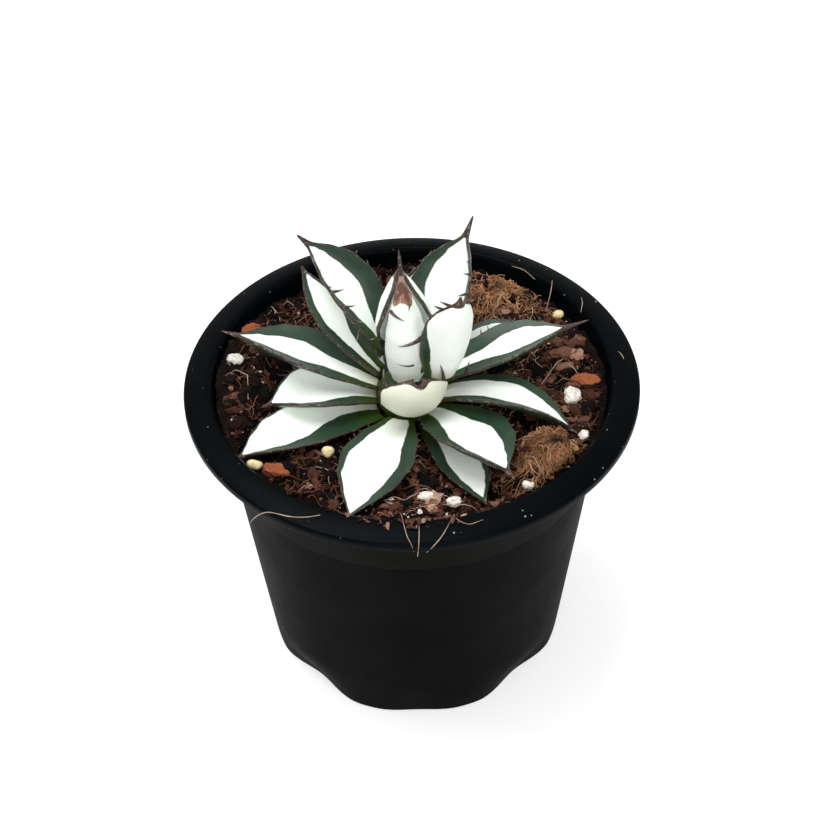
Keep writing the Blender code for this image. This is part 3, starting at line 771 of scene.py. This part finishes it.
def shape_bud():
    top = BUD_BASE + BUD_LENGTH + BUD_SPINE
    heights = [BUD_BASE + (top - BUD_BASE) * k / 90 for k in range(91)]
    bm = turned([(0, BUD_BASE)] + [(bud_radius(z), z) for z in heights] + [(0, top)], 72)
    pale, rim, share, ripe, _ = [bm.verts.layers.float.new(key) for key in LAYERS]
    for vert in bm.verts:
        x, y, z = vert.co / MM
        angle = math.degrees(math.atan2(y, x))
        if math.hypot(x, y) > 0.03:
            vert.co = on_bud(angle, z) * MM
        else:
            vert.co = bud_centre(z) * MM
        vert[pale], vert[share], vert[rim] = 5.0, 0.8, 3.0
        seam = abs(angle_off(angle, -28 + 2.2 * (z - 100))) * math.radians(1) * bud_radius(z)
        vert[rim] = min(seam - 0.2 + max(0, 95 - z) + max(0, z - 105), max(0, BUD_BASE + BUD_LENGTH + 1 - z))
        vert[ripe] = z - RIPE_FROM - 0.9 * math.sin(math.radians(3 * angle + 20))
    for hook in ((-34, -78, 106.4, -1.0, 0.75), (-160, 78, 114.0, -1.2, 0.6), (-42, -22, 116.6, -1.6, 0.32),
                 (-66, -50, 99.0, 0.8, 0.3)):
        pour(bm, bud_hook(*hook))
    bmesh.ops.recalc_face_normals(bm, faces=bm.faces)
    mesh = bpy.data.meshes.new("bud")
    bm.to_mesh(mesh)
    bm.free()
    return mesh


bud = finish_piece("centre_bud_skin", shape_bud(), agave_leaf, ["centre_bud"])
print("bud:", round(BUD_LENGTH + BUD_SPINE, 1), "mm tall")


# %% Stem
def stem_look():
    made, tree, shader = new_material("leaf_bases", 0.5, 0.35)
    place = node(tree, "TexCoord").outputs["Object"]
    broad = mottle(tree, place, 160.0, 4.0, 1.8)
    colour = mix(tree, broad, rgb(28, 40, 12), rgb(62, 78, 30))
    tree.links.new(colour, shader.inputs["Base Color"])
    bump(tree, shader, broad, 0.2 * MM)
    return made


def shape_stem():
    profile = [(0, 72.3), (4.2, 72.3), (5.0, 73.5), (5.0, 79.2), (6.9, 80.4), (8.0, 82), (8.4, 84),
               (8.5, 86), (7.9, 88), (6.4, 89.6), (4.2, 90.3), (0, 90.6)]
    bm = turned(profile, 96)
    for vert in bm.verts:
        angle = math.atan2(vert.co.y, vert.co.x)
        vert.co.xy *= 1 - 0.05 * abs(math.sin(6 * angle + vert.co.z / MM * 0.4))
    bmesh.ops.translate(bm, verts=bm.verts, vec=(AXIS[0] * MM, AXIS[1] * MM, 0))
    return to_mesh(bm)


finish_piece("stem_with_leaf_bases", shape_stem(), stem_look(), ["stem"])

# %% [markdown]
# ## The growing medium
# A potting mix for a plant like this is composted bark, coir and perlite. No two bits are alike,
# and what the eye reads is the depth between them. So the surface is made in layers: a bed, which
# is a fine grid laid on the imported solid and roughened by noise; then thousands of crumbs and
# grains, each one a small rock with its own colour; then fibres that run over and between them.
# The bed has to stay under the leaves, so each of its points looks straight up first.

# %% What lies below and above a point
def surface_tree(mesh):
    """A search tree over the faces of a mesh."""
    points = [vert.co for vert in mesh.vertices]
    return BVHTree.FromPolygons(points, [tuple(face.vertices) for face in mesh.polygons])


UP, DOWN = Vector((0, 0, 1)), Vector((0, 0, -1))
packed_medium = surface_tree(bpy.data.objects["growing_medium"].data)
pot_tree = surface_tree(pot_mesh)
graph = bpy.context.evaluated_depsgraph_get()
leaf_points, leaf_faces = [], []
for piece in leaf_pieces + [bud]:
    surface = piece.evaluated_get(graph).to_mesh()
    start = len(leaf_points)
    leaf_points += [vert.co.copy() for vert in surface.vertices]
    leaf_faces += [tuple(start + k for k in face.vertices) for face in surface.polygons]
    piece.evaluated_get(graph).to_mesh_clear()
leaf_tree = BVHTree.FromPolygons(leaf_points, leaf_faces)


def level_below(tree, x, y, start=140.0):
    """Height in mm of the first surface under this place, or None."""
    hit = tree.ray_cast(Vector((x, y, start)) * MM, DOWN)[0]
    return hit.z / MM if hit else None


def room_above(x, y, z):
    """How far up the first leaf is from this point, mm."""
    hit = leaf_tree.ray_cast(Vector((x, y, z)) * MM, UP)[0]
    return hit.z / MM - z if hit else 99.0


def least_room(x, y, ground, spots):
    """The least room under the leaves at these offsets, from a little below the ground, mm."""
    return min(room_above(x + a, y + b, ground - 0.8) for a, b in spots)


# %% Bed of the medium
BED_CELLS = 250
BED_EDGE = 51.2
BED_SIDES = (80, 71, 68.9, 40, FLUTE_HEIGHT, 9, 5, FLOOR_TOP + GAP)


def rough_bed(x, y):
    """Height of lumps and hollows in the loose surface, mm."""
    spot = Vector((x, y, 4.0))
    lumps = 1.5 * noise.noise(spot * 0.26) + 0.9 * noise.noise(spot * 0.62 + Vector((9, 2, 0)))
    crumbly = 0.75 * noise.turbulence(spot * 0.9, 3, True, noise_basis="PERLIN_ORIGINAL")
    return lumps + crumbly - 0.5


def settle(vert):
    """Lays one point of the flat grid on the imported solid, and keeps it clear of the leaves."""
    x, y = vert.co.x, vert.co.y
    x, y = BED_EDGE * x * math.sqrt(1 - y * y / 2), BED_EDGE * y * math.sqrt(1 - x * x / 2)
    level = level_below(packed_medium, x * 0.992, y * 0.992, POT_TOP + 9)
    level = (level or 84.0) + rough_bed(x, y)
    level = min(level, level - 3.0 + room_above(x, y, level - 3.0) - 0.3) if level > 70 else level
    vert.co = Vector((x, y, min(level, 90.6))) * MM


def shape_bed():
    bm = bmesh.new()
    bmesh.ops.create_grid(bm, x_segments=BED_CELLS, y_segments=BED_CELLS, size=1)
    for vert in bm.verts:
        settle(vert)
    rim = [edge for edge in bm.edges if edge.is_boundary]
    for vert in {vert for edge in rim for vert in edge.verts}:
        x, y, z = vert.co / MM
        vert.co.xy *= (inner_radius(z) - GAP) / math.hypot(x, y)
    for z in BED_SIDES:
        made = bmesh.ops.extrude_edge_only(bm, edges=rim)["geom"]
        rim = [part for part in made if isinstance(part, bmesh.types.BMEdge)]
        for vert in [part for part in made if isinstance(part, bmesh.types.BMVert)]:
            x, y, _ = vert.co / MM
            radius = inner_radius(z) - GAP - flute(math.degrees(math.atan2(y, x)), z)
            vert.co = Vector((x, y, 0)) * (radius / math.hypot(x, y) * MM) + UP * (z * MM)
    bmesh.ops.contextual_create(bm, geom=rim)
    return to_mesh(bm, 1e-6)


bed_mesh = shape_bed()
bed_tree = surface_tree(bed_mesh)
print("bed faces:", len(bed_mesh.polygons))

# %% [markdown]
# ### Colours of the mix
# Every bit of the mix takes its colour from one ramp, from near-black through red-brown coir to
# straw. The near-black end is painted shade on the bed, for the gaps between the bits, and on the
# darkest crumbs it is partly dark bark and partly painted shade. A number stored on each bit, its
# tone, says where on the ramp it lies, and noise moves it a little within the bit. Past the end of
# the browns the ramp goes on to the gold of fresh husk.

# %% Mix finish
MIX_COLOURS = ((0.0, (5, 3, 2)), (0.18, (30, 17, 12)), (0.34, (84, 55, 44)), (0.48, (122, 86, 70)),
               (0.6, (158, 122, 104)), (0.7, (206, 178, 156)), (0.78, (84, 55, 36)), (0.88, (138, 98, 64)),
               (1.0, (186, 148, 104)))


def colour_ramp(tree, value, stops):
    made = node(tree, "ValToRGB", {"Fac": value})
    elements = made.color_ramp.elements
    while len(elements) < len(stops):
        elements.new(1.0)
    for element, (place, colour) in zip(elements, stops):
        element.position, element.color = place, rgb(*colour)
    return made.outputs[0]


def shifted(tree, tone, clouds, amount):
    """The tone, moved up and down by the clouds."""
    return sums(tree, "ADD", tone, sums(tree, "MULTIPLY", sums(tree, "SUBTRACT", clouds, 0.5), amount))


def mix_look(name, own_tone, wobble, relief):
    """The finish of bark and coir. Without a tone of its own a surface takes its tone from noise."""
    made, tree, shader = new_material(name, 0.9, 0.15)
    place = node(tree, "TexCoord").outputs["Object"]
    broad = mottle(tree, place, 240.0, 5.0, 2.4)
    fine = mottle(tree, place, 1500.0, 4.0, 2.0)
    if own_tone is None:
        tone = node(tree, "Attribute", attribute_name="tone").outputs["Fac"]
    else:
        tone = shifted(tree, own_tone, broad, wobble * 3)
    tone = shifted(tree, tone, fine, wobble)
    tree.links.new(colour_ramp(tree, tone, MIX_COLOURS), shader.inputs["Base Color"])
    bump(tree, shader, sums(tree, "ADD", broad, fine), relief * MM)
    return made


# Painted shade: the bed is toned near-black for the deep gaps between the crumbs, where it shows through.
bed_look = mix_look("bark_bed_painted_shade", 0.1, 0.1, 0.3)
crumb_look = mix_look("bark_and_coir_crumbs", None, 0.12, 0.25)
finish_piece("bark_bed", bed_mesh, bed_look, ["growing_medium"])


# %% [markdown]
# ### Crumbs, chips and grains
# A crumb is a ball of a few dozen faces, pushed about by noise and then stretched and turned at
# random, so that one function gives bark, coir lumps and grit. Each is dropped on the bed. A crumb
# that would touch a leaf is left out.

# %% Crumbs
MIX_REACH = 50.6
GOLDEN_SPOTS = (((34, -28), 9.5), ((37, -36), 5.5), ((29, 42), 7.0))


def crumb(dice, size, stretch, rings):
    """One small rough rock about the origin, with this size in mm."""
    bm = bmesh.new()
    bmesh.ops.create_icosphere(bm, subdivisions=rings, radius=0.5)
    seed = Vector((dice.uniform(-50, 50), dice.uniform(-50, 50), dice.uniform(-50, 50)))
    for vert in bm.verts:
        vert.co *= 1 + 0.75 * noise.noise(vert.co * 2.8 + seed)
    turn = Matrix.Rotation(dice.uniform(0, math.tau), 4, "Z") @ Matrix.Rotation(dice.gauss(0, 0.45), 4, "X")
    shape = Matrix.Diagonal((size * stretch, size, size * dice.uniform(0.45, 0.8), 1))
    bmesh.ops.transform(bm, matrix=turn @ shape, verts=bm.verts)
    return bm


def crumb_tone(dice, x, y):
    """Where on the colour ramp a bit that lies here comes: redder in front, darker on the left."""
    for (gx, gy), reach in GOLDEN_SPOTS:
        if math.hypot(x - gx, y - gy) < reach * dice.uniform(0.6, 1.1):
            return dice.uniform(0.8, 0.98)
    level = 0.14 + 0.12 * ease((x + 30) / 60) + 0.08 * ease((-y - 20) / 30)
    patch = 0.3 * noise.noise(Vector((x * 0.16, y * 0.16, 2.0)))
    return max(0.0, min(0.72, dice.gauss(level + patch, 0.15)))


def scatter(name, count, seed, sizes, stretch, rings, look, tones=None, area=None, sunk=0.3):
    """Drops crumbs on the bed, and on the pot where they reach it."""
    dice = random.Random(seed)
    bm = bmesh.new()
    values = []
    while count:
        count -= 1
        if area:
            x, y = area(dice)
        else:
            r, angle = MIX_REACH * math.sqrt(dice.random()), dice.uniform(0, math.tau)
            x, y = r * math.cos(angle), r * math.sin(angle)
        size = sizes[0] + (sizes[1] - sizes[0]) * dice.random() ** 1.6
        ground = level_below(bed_tree, x, y, POT_TOP + 2)
        if ground is None:
            ground = level_below(pot_tree, x, y, POT_TOP + 2)
        length = dice.uniform(*stretch)
        small = crumb(dice, size, length, rings)
        tone = dice.uniform(*tones) if tones else crumb_tone(dice, x, y)
        reach = 0.5 * size * length
        if math.hypot(x, y) + reach > MIX_REACH and not area:
            small.free()
            continue
        spots = ((0, 0), (reach, 0), (-reach, 0), (0, reach), (0, -reach))
        if ground is None or least_room(x, y, ground, spots) < size * 0.7 + 1.0:
            small.free()
            continue
        lift = ground + size * (0.5 - sunk)
        bmesh.ops.translate(small, verts=small.verts, vec=Vector((x, y, lift)))
        bmesh.ops.scale(small, verts=small.verts, vec=(MM, MM, MM))
        values += [tone] * len(small.verts)
        pour(bm, small)
    mesh = bpy.data.meshes.new(name)
    bm.to_mesh(mesh)
    bm.free()
    mesh.attributes.new("tone", "FLOAT", "POINT").data.foreach_set("value", values)
    print(name + ":", len(mesh.polygons), "faces")
    return finish_piece(name, mesh, look, (), 28)


scatter("bark_lumps", 800, 11, (1.6, 4.2), (1.0, 2.0), 2, crumb_look, sunk=0.3)
scatter("bark_crumbs", 1600, 12, (0.8, 1.8), (1.0, 2.6), 2, crumb_look, sunk=0.2)
scatter("bark_slivers", 2600, 13, (0.4, 0.9), (2.5, 7.0), 1, crumb_look, sunk=-0.2)
scatter("bark_grit", 3600, 14, (0.25, 0.8), (1.0, 2.2), 1, crumb_look, sunk=0.0)


def on_front_flange(dice):
    """A place on the front of the pot's rim, where bits were spilled."""
    angle, r = math.radians(dice.gauss(-92, 10)), dice.uniform(50.8, 55.5)
    return r * math.cos(angle), r * math.sin(angle)


scatter("spilled_crumbs", 90, 15, (0.3, 1.3), (1.0, 3.0), 1, crumb_look,
        area=on_front_flange, sunk=0.1)


# %% [markdown]
# ### Perlite
# Perlite is puffed volcanic glass: white, matt, full of pores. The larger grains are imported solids,
# so each is refined from a copy of its own solid: merged, divided, smoothed and pitted by noise.

# %% Perlite and other loose pieces
def perlite_look():
    made, tree, shader = new_material("perlite", 0.85, 0.2)
    place = node(tree, "TexCoord").outputs["Object"]
    pits = mottle(tree, place, 900.0, 4.0, 2.6)
    tree.links.new(mix(tree, pits, rgb(196, 186, 172), rgb(248, 246, 240)), shader.inputs["Base Color"])
    bump(tree, shader, pits, 0.3 * MM)
    return made


def refined(name, cuts, bumps):
    """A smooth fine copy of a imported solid, roughened by (scale, amount) pairs, in mm."""
    bm = bmesh.new()
    bm.from_mesh(bpy.data.objects[name].data)
    bmesh.ops.remove_doubles(bm, verts=bm.verts, dist=1e-6)
    bmesh.ops.subdivide_edges(bm, edges=bm.edges, cuts=cuts, use_grid_fill=True, smooth=0.6)
    for _ in range(2):
        bmesh.ops.smooth_vert(bm, verts=bm.verts, factor=0.5,
                              use_axis_x=True, use_axis_y=True, use_axis_z=True)
    bm.normal_update()
    moves = []
    for vert in bm.verts:
        spot = vert.co / MM
        moves.append(vert.normal * (MM * sum(amount * noise.noise(spot * scale) for scale, amount in bumps)))
    for vert, move in zip(bm.verts, moves):
        vert.co += move
    return to_mesh(bm)


perlite = perlite_look()
for name in [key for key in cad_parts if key.startswith("perlite")]:
    finish_piece(name.replace("perlite", "perlite_grain"), refined(name, 5, ((0.9, 0.35), (2.6, 0.3))),
                 perlite, [name])
scatter("perlite_bits", 150, 21, (0.25, 1.3), (1.0, 1.6), 1, perlite, sunk=0.1)


# %% Bark chips, husk and feed
def chunk_look(name, dark, light, stretch, relief, roughness=0.85):
    """A loose piece with a grain: noise pulled out along one way of the piece."""
    made, tree, shader = new_material(name, roughness, 0.25)
    place = node(tree, "TexCoord").outputs["Object"]
    pulled = node(tree, "Mapping", {"Vector": place, "Scale": stretch}).outputs[0]
    grain = mottle(tree, pulled, 700.0, 5.0, 2.6)
    broad = mottle(tree, place, 260.0, 3.0, 1.6)
    body = mix(tree, broad, rgb(*dark), rgb(*light))
    tree.links.new(mix(tree, grain, body, rgb(*light)), shader.inputs["Base Color"])
    bump(tree, shader, grain, relief * MM)
    return made


bark = chunk_look("split_bark", (84, 40, 26), (156, 88, 56), (0.35, 1.0, 1.6), 0.35)
husk = chunk_look("coir_husk", (44, 24, 16), (160, 114, 72), (0.3, 1.2, 1.2), 1.0)
feed = chunk_look("feed_granule", (186, 160, 108), (232, 214, 170), (1, 1, 1), 0.12, 0.6)
for name in [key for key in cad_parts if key.startswith("bark")]:
    chip = refined(name, 5, ((0.5, 0.35), (1.8, 0.35), (5, 0.1)))
    finish_piece(name.replace("bark_chip", "split_chip"), chip, bark, [name])
for name in [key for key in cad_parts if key.startswith("feed")]:
    finish_piece(name.replace("feed", "slow_feed"), refined(name, 5, ((0.8, 0.15), (3.0, 0.08))),
                 feed, [name])
HUSK_BUMPS = ((0.28, 1.0), (0.8, 0.9), (2.2, 0.7), (5.0, 0.3))
husk_mesh = refined("husk_chunk", 10, HUSK_BUMPS)
finish_piece("coir_husk_chunk", husk_mesh, husk, ["husk_chunk"])
husk_tree = surface_tree(husk_mesh)

# %% [markdown]
# ### Fibres
# Coir fibres, dead roots and hairs lie over everything. Each is a polyline that wanders over the
# bed and may arch up from it. A curve with a round bevel gives it thickness, and the curve is then
# made a mesh, as a shape that a whole library can use. Strands of one colour share one piece.

# %% Strands
def strands(name, paths, thick, look):
    """Makes one mesh of many thin round strands. A path is a list of points in mm."""
    curve = bpy.data.curves.new(name, "CURVE")
    curve.dimensions, curve.bevel_depth, curve.bevel_resolution = "3D", thick * MM, 0
    curve.use_fill_caps = True
    for path in paths:
        line = curve.splines.new("POLY")
        line.points.add(len(path) - 1)
        for k, (point, spot) in enumerate(zip(line.points, path)):
            point.co = (*(Vector(spot) * MM), 1)
            point.radius = 0.35 + 0.65 * math.sin(math.pi * min(0.85, max(0.15, k / (len(path) - 1))))
    holder = bpy.data.objects.new(name, curve)
    bpy.context.scene.collection.objects.link(holder)
    mesh = bpy.data.meshes.new_from_object(holder.evaluated_get(bpy.context.evaluated_depsgraph_get()))
    bpy.data.objects.remove(holder, do_unlink=True)
    bpy.data.curves.remove(curve)
    print(name + ":", len(mesh.polygons), "faces in", len(paths), "strands")
    return finish_piece(name, mesh, look)


FIBRE_START, FIBRE_REACH = 49.5, 50.3
AROUND = ((0, 0), (0.8, 0), (-0.8, 0), (0, 0.8), (0, -0.8))


def wander(dice, x, y, steps, stride, arch, swing):
    """A path over the bed from (x, y): it turns at random, arches up and comes down again."""
    heading, path = dice.uniform(0, math.tau), []
    bias = dice.gauss(0, swing * 0.4)
    for k in range(steps):
        ground = level_below(bed_tree, x, y, POT_TOP + 2)
        if ground:
            ground = max(ground, level_below(husk_tree, x, y) or 0)
        if ground is None or math.hypot(x, y) > FIBRE_REACH:
            break
        level = ground + 0.35 + arch * math.sin(math.pi * k / (steps - 1))
        if path:
            level = max(level, path[-1][2] - 0.9)
        if least_room(x, y, ground, AROUND) < level - ground + 1.6:
            break
        path.append((x, y, level))
        heading += bias + dice.gauss(0, swing)
        x, y = x + stride * math.cos(heading), y + stride * math.sin(heading)
    return path


def finer(path, parts=5):
    """The same path with more points, rounded at its bends."""
    spots = [Vector(spot) for spot in path]
    ends = [2 * spots[0] - spots[1], *spots, 2 * spots[-1] - spots[-2]]
    made = []
    for a, b, c, d in zip(ends, ends[1:], ends[2:], ends[3:]):
        made += interpolate_bezier(b, b + (c - a) / 6, c - (d - b) / 6, c, parts + 1)[:parts]
    return made + [spots[-1]]


def litter(count, seed, steps, stride, arch, swing, near=None):
    dice = random.Random(seed)
    paths = []
    for _ in range(count):
        r, angle = FIBRE_START * math.sqrt(dice.random()), dice.uniform(0, math.tau)
        x, y = r * math.cos(angle), r * math.sin(angle)
        if near:
            x, y = near[0] + dice.gauss(0, near[2]), near[1] + dice.gauss(0, near[2])
        path = wander(dice, x, y, dice.randint(*steps), stride, dice.uniform(*arch), swing)
        if len(path) > 3:
            paths.append(path)
    return paths


def strand_look(name, dark, light):
    made, tree, shader = new_material(name, 0.8, 0.2)
    place = node(tree, "TexCoord").outputs["Object"]
    along_it = mottle(tree, place, 160.0, 3.0, 2.6)
    fine = mottle(tree, place, 1800.0, 2.0, 2.0)
    tree.links.new(mix(tree, along_it, rgb(*dark), rgb(*light)), shader.inputs["Base Color"])
    bump(tree, shader, fine, 0.05 * MM)
    return made


dark_fibre = strand_look("dark_fibre", (30, 17, 12), (92, 54, 36))
red_fibre = strand_look("red_brown_fibre", (78, 42, 28), (150, 100, 74))
pale_root = strand_look("pale_root", (124, 98, 80), (192, 172, 152))
gold_fibre = strand_look("golden_fibre", (40, 23, 15), (194, 142, 102))
strands("dark_fibres", litter(600, 31, (6, 16), 1.0, (0.0, 1.2), 0.35), 0.1, dark_fibre)
strands("red_fibres", litter(700, 32, (5, 14), 0.9, (0.0, 1.6), 0.45), 0.11, red_fibre)
strands("pale_roots", litter(110, 33, (8, 18), 1.0, (0.3, 2.4), 0.3), 0.12, pale_root)
strands("golden_fibres", litter(420, 34, (6, 14), 0.9, (0.2, 2.0), 0.5, (27, 40, 6.0))
        + litter(260, 35, (5, 11), 0.8, (0.1, 1.0), 0.5, (34, -31, 5.0)), 0.15, gold_fibre)

# %% Strands that hang over the rim, point by point
# Many of these x and y values were worked out outside this file and not chosen by hand.
RIM_STRANDS = (
    ((-40.6, -44.9, 82.5), (-39.6, -46.4, 85.4), (-37.6, -47.9, 88.6), (-35.0, -49.6, 91.0),
     (-30, -51.6, 91.5), (-26, -51.8, 91.4), (-22.7, -51.0, 91.2)),
    ((-3.0, -51.5, 91.6), (-2.4, -55, 91.7), (-1.6, -58.6, 91.2), (-0.6, -59.9, 89.6), (-0.1, -59.8, 87.0)),
    ((1.3, -53.0, 91.5), (1.3, -57.0, 91.6), (1.2, -59.6, 90.4), (1.0, -59.9, 87.6), (0.8, -58.6, 84.0)),
    ((9.5, -52.6, 91.5), (8.0, -56.4, 91.6), (6.3, -59.2, 90.9), (4.4, -59.9, 88.6), (3.0, -59.2, 86.0)),
    ((9.7, -51.8, 91.5), (10.7, -53.9, 91.7), (13.4, -55.3, 91.6), (16.8, -53.8, 91.5)),
    ((39.3, 36.3, 91.8), (38.8, 32.5, 92.4), (38.0, 28.5, 92.0), (36.8, 24.8, 90.6)),
    ((28.5, 43.5, 91.4), (31.7, 40.9, 92.0), (34.6, 37.8, 91.2)),
    ((46.8, 29.6, 91.2), (46.9, 26.5, 91.8), (46.3, 23.7, 90.8)),
    ((39.9, 4.6, 90.6), (38.8, 3.0, 91.6), (37.6, 1.0, 91.7), (34.0, -4.3, 90.2)),
    ((56.2, 4.1, 91.0), (55.7, 5.4, 91.4), (54.9, 6.6, 91.5)),
)
strands("rim_strands", [finer(path) for path in RIM_STRANDS], 0.13, pale_root)

# %% [markdown]
# ## The floor and the close
# The floor is a plain pale sheet that glows a little, so that the pot's shadow on it stays faint.

# %% Floor
def floor_look():
    made, tree, shader = new_material("floor", 0.9, 0.0)
    shader.inputs["Base Color"].default_value = (0.6, 0.6, 0.6, 1)
    shader.inputs["Emission Color"].default_value = (1, 1, 1, 1)
    shader.inputs["Emission Strength"].default_value = 0.55
    return made


floor = bmesh.new()
bmesh.ops.create_grid(floor, x_segments=1, y_segments=1, size=8.0)
floor_mesh = to_mesh(floor)
floor_mesh.materials.append(floor_look())
stage_floor = bpy.data.objects.new("floor", floor_mesh)
bpy.context.scene.collection.objects.link(stage_floor)
